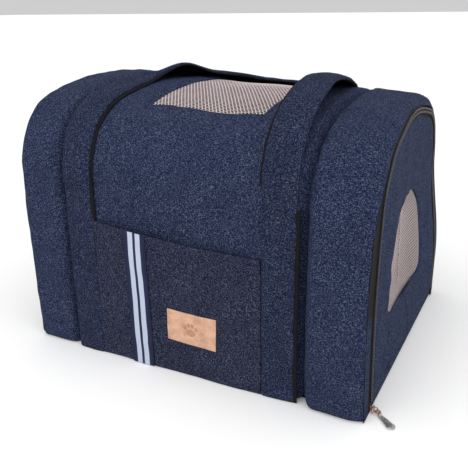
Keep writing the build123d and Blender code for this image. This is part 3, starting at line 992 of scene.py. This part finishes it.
def along_path(piece, path, lift, cup):
    """Bends a flat strap piece along a path; cup droops its edges."""
    length, line, side, out = path
    w, s, level = places(piece).T
    spots = [
        np.stack([np.interp(s, length, rows[:, axis]) for axis in range(3)], 1) for rows in (line, side, out)
    ]
    droop = cup * (w / strap_half) ** 2
    rows = spots[0] + spots[1] * w[:, None] + spots[2] * (level + lift - droop)[:, None]
    set_places(piece, np.stack(soften(*rows.T), 1))
    return piece


def loaf_station(x, t, out, side):
    """A station that lies on the loaf."""
    y, z, across, up = arch(np.array([t]))
    return ((x * 1000, float(y[0] + across[0] * out) * 1000, float(z[0] + up[0] * out) * 1000), side)


RIGHTWARD, LEFTWARD = (1, 0, 0), (-1, 0, 0)
left_leg = [loaf_station(STRAP_X[0], -HALF_ARC + z, 0.0034, RIGHTWARD) for z in (0.2070, 0.2140, 0.2300)]
left_leg += [
    loaf_station(x, t, out, RIGHTWARD)
    for x, t, out in (
        (-0.1283, -0.185, 0.0042), (-0.1280, -0.160, 0.0050), (-0.1275, -0.135, 0.0050),
        (-0.1265, -0.110, 0.0048), (-0.1250, -0.085, 0.0048), (-0.1225, -0.060, 0.0055),
    )
]
front_stations = left_leg + [
    ((-117, -30, 308), (0.93, -0.20, 0.30)),
    ((-103, 6, 313.5), (0.72, -0.50, 0.46)),
    ((-82, 46, 306), (0.50, -0.80, 0.30)),
    loaf_station(-0.050, 0.108, 0.0040, (0.22, -0.92, 0.34)),
    loaf_station(-0.005, 0.126, 0.0035, (0.0, -0.90, 0.43)),
    loaf_station(0.042, 0.126, 0.0035, (-0.12, -0.89, 0.43)),
    loaf_station(0.080, 0.104, 0.0040, (-0.52, -0.78, 0.30)),
    ((101, 42, 308), (-0.90, -0.42, 0.02)),
    ((109, 2, 317), (-1, -0.08, 0)),
    ((112.5, -36, 323), LEFTWARD),
    ((114.5, -70, 324), LEFTWARD),
    ((117, -103, 318.5), LEFTWARD),
    ((116, -136, 302), LEFTWARD),
    ((115, -161, 275), LEFTWARD),
    ((114.5, -172.5, 245), LEFTWARD),
    ((114.5, -173.5, 214), LEFTWARD),
    ((114.5, -173.5, 207), LEFTWARD),
]


def handle(name, path, denim_node, lining_node, cup):
    """A long handle: folded denim outside, black webbing inside, and two rows of stitches. The webbing is
    the handle's real black lining; the strip of it past one edge is painted shade under the lifted edge.
    """
    run_to = path[0][-1]
    rows = spread(0.0, 260, run_to)
    band = cloth(name, spread(-strap_half, 14, strap_half), rows)
    modify(band, "SOLIDIFY", thickness=0.0028, offset=1)
    w, s, level = places(band).T
    level = level + np.where(level > 0.001, strap_crown(w) + 0.0005 * rumple(w, s, FINE_RUMPLES), 0)
    set_places(band, np.stack((w, s, level), 1))
    along_path(band, path, STRAP_LIFT, cup)
    # Real black lining; its strip past one edge is painted shade.
    webbing_and_shade_line = cloth(name + "_webbing", spread(WEBBING_AND_SHADE_REACH[0], 12, WEBBING_AND_SHADE_REACH[1]), rows)
    modify(webbing_and_shade_line, "SOLIDIFY", thickness=WEBBING_THICK, offset=-1)
    along_path(webbing_and_shade_line, path, STRAP_LIFT, cup)
    edges = [
        stitch_row((w_edge, 0.002, 0), (w_edge, run_to - 0.002, 0), 0.0036) for w_edge in (-0.0155, 0.0155)
    ]
    sewing = along_path(join(name + "_sewing", *edges), path, 0.0, cup)
    finish(band, None, "strap_denim", denim_node)
    finish(webbing_and_shade_line, None, "black_tape", lining_node)
    finish(sewing, None, "thread")
    for piece in (band, webbing_and_shade_line, sewing):
        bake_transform(piece)


handle(
    "front_handle_cloth", smooth_path(front_stations),
    "front_handle_band", "front_handle_lining", 0.0020,
)

# Back handle: up past its stitching, folded over and hanging down behind
back_stations = [
    ((-128.5, 174.0, 258), LEFTWARD), ((-128.5, 174.4, 266), LEFTWARD), ((-128.5, 177.6, 271.5), LEFTWARD),
    ((-128.5, 180.8, 266), LEFTWARD), ((-128.5, 181.2, 256), LEFTWARD), ((-128.5, 181.5, 200), LEFTWARD),
    ((-128.5, 181.5, 140), LEFTWARD), ((-127, 181.8, 92), (-1, 0, -0.05)),
    ((-112, 182.2, 54), (-0.84, 0, -0.54)),
    ((-80, 182.6, 33), (-0.36, 0, -0.93)), ((-40, 182.6, 27.5), (-0.05, 0, -1)),
    ((25, 182.6, 27.5), (0.05, 0, -1)),
    ((66, 182.6, 33), (0.36, 0, -0.93)), ((98, 182.2, 54), (0.84, 0, -0.54)),
    ((113, 181.8, 92), (1, 0, -0.05)),
    ((114.5, 181.5, 140), RIGHTWARD), ((114.5, 181.5, 200), RIGHTWARD), ((114.5, 181.2, 256), RIGHTWARD),
    ((114.5, 180.8, 266), RIGHTWARD), ((114.5, 177.6, 271.5), RIGHTWARD), ((114.5, 174.4, 266), RIGHTWARD),
    ((114.5, 174.0, 258), RIGHTWARD),
]
handle(
    "back_handle_cloth", smooth_path(back_stations),
    "back_handle_band", "back_handle_lining", 0.0,
)

# ---------------------------------------------------------------- pocket, ribbon and label
def mouth(x):
    """Height of the pocket's mouth along it, with a slight slack."""
    part = (x - POCKET_X[0]) / (POCKET_X[1] - POCKET_X[0])
    return MOUTH_LEFT + (MOUTH_RIGHT - MOUTH_LEFT) * part - 0.0015 * np.sin(np.clip(part, 0, 1) * math.pi)


def pocket_gape(x, height):
    """How far the pocket's cloth stands off the wall."""
    part = np.clip((x - POCKET_X[0]) / (POCKET_X[1] - POCKET_X[0]), 0, 1)
    full = np.sin(part * math.pi) ** 0.55
    slack = 0.0018 + 0.0048 * full * smooth(height, 0.0, 0.16)
    ripple = 0.0009 * rumple(x, height, SLOW_RUMPLES) + 0.0004 * rumple(x, height, FINE_RUMPLES)
    return slack + ripple * full


def on_pocket(piece, lift=0.0):
    """Lays a piece, cut flat in X and height, on the pocket's cloth."""
    x, height, out = places(piece).T
    t = -HALF_ARC + height
    set_places(piece, on_loaf(x, t, out + lift + pocket_gape(x, height) + 0.6 * bulge(x, t)))
    return piece


def to_mouth(piece, drop=0.0):
    """Stretches a piece cut one unit high from the hem to the mouth."""
    x, part, out = places(piece).T
    set_places(piece, np.stack((x, HEM + part * (mouth(x) - drop - HEM), out), 1))
    map_cloth(piece)
    return piece


pocket_cloth = to_mouth(cloth("pocket_cloth", spread(POCKET_X[0], 90, POCKET_X[1]), spread(0.0, 70, 1.0)))
modify(pocket_cloth, "SOLIDIFY", thickness=0.0014, offset=1)
on_pocket(pocket_cloth)
finish(pocket_cloth, "shell", "pocket_denim", "front_pocket")
pocket_hem = cloth("pocket_hem", spread(POCKET_X[0], 90, POCKET_X[1]), spread(0.0, 8, 1.0))
hem_x, hem_part, hem_out = places(pocket_hem).T
set_places(pocket_hem, np.stack((hem_x, mouth(hem_x) - 0.0125 + 0.0130 * hem_part, hem_out), 1))
map_cloth(pocket_hem)
modify(pocket_hem, "SOLIDIFY", thickness=0.0024, offset=0)
modify(pocket_hem, "BEVEL", width=0.0006, segments=2, limit_method="ANGLE")
on_pocket(pocket_hem, 0.0010)
finish(pocket_hem, "shell", "pocket_denim")
hem_rows = []
for drop in (0.0030, 0.0105):
    hem_rows.append(stitch_row((POCKET_X[0] + 0.002, 0, 0), (POCKET_X[1] - 0.002, 0, 0), 0.0024))
    row_x, row_y, row_out = places(hem_rows[-1]).T
    set_places(hem_rows[-1], np.stack((row_x, row_y + mouth(row_x) - drop, row_out), 1))
finish(on_pocket(join("pocket_sewing", *hem_rows)), "shell", "thread")

ribbon = to_mouth(cloth("ribbon", spread(RIBBON_X[0], 14, RIBBON_X[1]), spread(0.0, 70, 1.0)), -0.0008)
modify(ribbon, "SOLIDIFY", thickness=0.0008, offset=1)
on_pocket(ribbon, 0.0024)
finish(ribbon, "shell", "ribbon", "pocket_ribbon")
ribbon_rows = [
    stitch_row((x, 0.003, 0), (x, 0.160, 0), 0.0034) for x in (RIBBON_X[0] + 0.0014, RIBBON_X[1] - 0.0014)
]
finish(on_pocket(join("ribbon_sewing", *ribbon_rows)), "shell", "black_thread")

LABEL_MIDDLE, LABEL_HALF, LABEL_TURN = (0.0142, 0.0600), (0.0302, 0.0192), math.radians(-2.0)


def turn_label(piece):
    """Turns a piece made about the label's middle to the label's tilt."""
    x, y, out = places(piece).T
    cos_turn, sin_turn = math.cos(LABEL_TURN), math.sin(LABEL_TURN)
    set_places(
        piece,
        np.stack(
            (
                LABEL_MIDDLE[0] + x * cos_turn - y * sin_turn,
                LABEL_MIDDLE[1] + x * sin_turn + y * cos_turn, out,
            ),
            1,
        ),
    )
    return piece


def label_plate(name, half_x, half_y, thick, bevel):
    """A thin plate of leather with rounded edges."""
    plate = cloth(name, spread(-half_x, 24, half_x), spread(-half_y, 16, half_y))
    modify(plate, "SOLIDIFY", thickness=thick, offset=1)
    modify(plate, "BEVEL", width=bevel, segments=3, limit_method="ANGLE")
    return turn_label(plate)


label = label_plate("label", *LABEL_HALF, 0.0015, 0.0005)
on_pocket(label, 0.0015)
finish(label, "shell", "leather", "leather_label")
inner = (LABEL_HALF[0] - 0.0028, LABEL_HALF[1] - 0.0028)
corners = [
    (-inner[0], -inner[1], 0), (inner[0], -inner[1], 0), (inner[0], inner[1], 0),
    (-inner[0], inner[1], 0),
]
label_rows = [
    stitch_row(corners[side], corners[(side + 1) % 4], 0.0032, 0.0034, (0.0022, 0.0007, 0.0005))
    for side in range(4)
]
finish(on_pocket(turn_label(join("label_sewing", *label_rows))), "shell", "label_thread")

# ---------------------------------------------------------------- base, pad and hinge strip
underside = cloth("underside", spread(-0.1990, 60, 0.2055), spread(-0.1612, 50, 0.1612))
modify(underside, "SOLIDIFY", thickness=0.0052, offset=1)
x, y, z = places(underside).T
quilt = 0.0006 * np.abs(np.sin((x + y) * math.pi / 0.045)) * np.abs(np.sin((x - y) * math.pi / 0.045))
set_places(underside, np.stack((x, y, np.where(z < 0.001, 0.0012 - quilt, z + 0.0006)), 1))
finish(underside, "shell", "black_tape", "bottom_panel")

pad_x, pad_y = 0.1965, 0.1560
base_pad = cloth("quilted_pad", spread(-pad_x, 84, pad_x), spread(-pad_y, 68, pad_y))
modify(base_pad, "SOLIDIFY", thickness=0.012, offset=1)
x, y, z = places(base_pad).T
edge = np.minimum(pad_x - np.abs(x), pad_y - np.abs(y))
dome = np.sqrt(np.clip(1 - (1 - np.clip(edge / 0.014, 0, 1)) ** 2, 0, 1))
channel = sum(
    np.exp(-((((place / pitch + 0.5) % 1 - 0.5) * pitch / 0.004) ** 2))
    for place, pitch in ((x, 0.0655), (y, 0.062))
)
top = (
    0.0135 + 0.0100 * dome - 0.0040 * np.clip(channel, 0, 1) * dome
    + 0.0008 * rumple(x, y, SLOW_RUMPLES) * dome
)
set_places(base_pad, np.stack((x * (1 - 0.004 * (1 - dome)), y, np.where(z > 0.006, top, 0.0094)), 1))
finish(base_pad, "shell", "pad_cover", "base_pad")

hinge_cloth = cloth("hinge_cloth", spread(-0.1475, 80, 0.1475), spread(0.0006, 8, 0.0110))
x, y, z = places(hinge_cloth).T
set_places(
    hinge_cloth,
    np.stack((0.2080 + 0.0012 * np.sin(np.clip(y / 0.011, 0, 1) * math.pi) + 0 * z, x, y), 1),
)
modify(hinge_cloth, "SOLIDIFY", thickness=0.0012, offset=-1)
finish(hinge_cloth, None, "denim", "door_hinge_strip")
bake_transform(hinge_cloth)

# Topstitching along the doorway's rim and round the top window
rim_sewing = wrap(
    stitch_row((RIM_X - 0.0105, -HALF_ARC + 0.004, 0), (RIM_X - 0.0105, HALF_ARC - 0.004, 0), 0.0003)
)
rim_sewing.name = "rim_sewing"
finish(rim_sewing, "shell", "thread")
ring_x = (WINDOW_X[0] - TOP_STITCH_OUT, WINDOW_X[1] + TOP_STITCH_OUT)
ring_t = WINDOW_T + TOP_STITCH_OUT
ring = ((ring_x[0], -ring_t, 0), (ring_x[1], -ring_t, 0), (ring_x[1], ring_t, 0), (ring_x[0], ring_t, 0))
window_rows = [stitch_row(ring[side], ring[(side + 1) % 4], 0.0003) for side in range(4)]
finish(wrap(join("window_sewing", *window_rows)), "shell", "thread")


# ---------------------------------------------------------------- hardware
def rounded_copy(node, name, body, material, width):
    """A hardware part with its edges eased, standing where the plain one does."""
    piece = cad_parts[node].copy()
    piece.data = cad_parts[node].data.copy()
    bpy.context.scene.collection.objects.link(piece)
    piece.parent = None
    for key in list(piece.keys()):
        del piece[key]
    pick(rename(piece, name))
    bpy.ops.object.mode_set(mode="EDIT")
    bpy.ops.mesh.select_all(action="SELECT")
    bpy.ops.mesh.remove_doubles(threshold=0.00001)
    bpy.ops.mesh.tris_convert_to_quads()
    bpy.ops.object.mode_set(mode="OBJECT")
    modify(piece, "BEVEL", width=width, segments=2, limit_method="ANGLE")
    return finish(piece, body, material, node)


rounded_copy("zip_slider", "slider_body", "slider", "slider_metal", 0.00022)
rounded_copy("puller_link", "slider_link", "puller", "link_metal", 0.00025)
rounded_copy("zip_puller", "puller_drop", "puller", "puller_metal", 0.00030)
for node, material in (("base_board", "board"), ("zip_stop", "zip_coil")):
    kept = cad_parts[node]
    kept.data.materials.clear()
    kept.data.materials.append(MATERIALS[material])

# ---------------------------------------------------------------- floor, light and camera
clear_selection()
bpy.ops.mesh.primitive_plane_add(size=60, location=(0, 0, -0.0004))
floor = bpy.context.object
floor.name = "floor"
floor_finish = Finish("floor_finish", "board", roughness=0.9, specular_ior_level=0.1)
floor_cloud = floor_finish.noise(floor_finish.place(), 3.0)
floor_finish.feed(base_color=floor_finish.mix(floor_cloud, (0.93, 0.93, 0.93), (0.96, 0.96, 0.96)))
floor.data.materials.append(MATERIALS["floor_finish"])

world = bpy.data.worlds.new("studio")
bpy.context.scene.world = world
world.use_nodes = True
sky = world.node_tree.nodes["Background"]
sky.inputs[0].default_value = (1.0, 1.0, 1.0, 1)
sky.inputs[1].default_value = 0.62


def panel_light(name, place, aim, size, watts):
    """A large soft light panel."""
    lamp = bpy.data.lights.new(name, "AREA")
    lamp.size = size
    lamp.energy = watts
    holder = bpy.data.objects.new(name, lamp)
    bpy.context.scene.collection.objects.link(holder)
    holder.location = place
    holder.rotation_euler = (Vector(aim) - Vector(place)).to_track_quat("-Z", "Y").to_euler()


sun = bpy.data.lights.new("overhead", "SUN")
sun.energy = 1.65
sun.angle = 1.5
overhead = bpy.data.objects.new("overhead", sun)
bpy.context.scene.collection.objects.link(overhead)
overhead.rotation_euler = (math.radians(22), math.radians(8), 0)
panel_light("front_panel", (-0.5, -1.7, 1.1), (0, 0, 0.15), 1.2, 5)
panel_light("side_panel", (1.6, -0.7, 0.8), (0.2, 0, 0.15), 1.0, 3.5)

yaw, pitch, roll = math.radians(27.1), math.radians(19.73), math.radians(-0.76)
backward = Vector((math.sin(yaw) * math.cos(pitch), -math.cos(yaw) * math.cos(pitch), math.sin(pitch)))
level_right = (-backward).cross(Vector((0, 0, 1))).normalized()
level_up = level_right.cross(-backward)
camera_right = level_right * math.cos(roll) + level_up * math.sin(roll)
camera_up = level_up * math.cos(roll) - level_right * math.sin(roll)
camera_data = bpy.data.cameras.new("camera")
camera_data.sensor_width = 36
camera_data.lens = 49.08
camera = bpy.data.objects.new("camera", camera_data)
bpy.context.scene.collection.objects.link(camera)
turned = Matrix((camera_right, camera_up, backward)).transposed().to_4x4()
camera.matrix_world = Matrix.Translation((0.33819, -0.70625, 0.39144)) @ turned
bpy.context.scene.camera = camera
bpy.context.scene.view_settings.view_transform = "Standard"
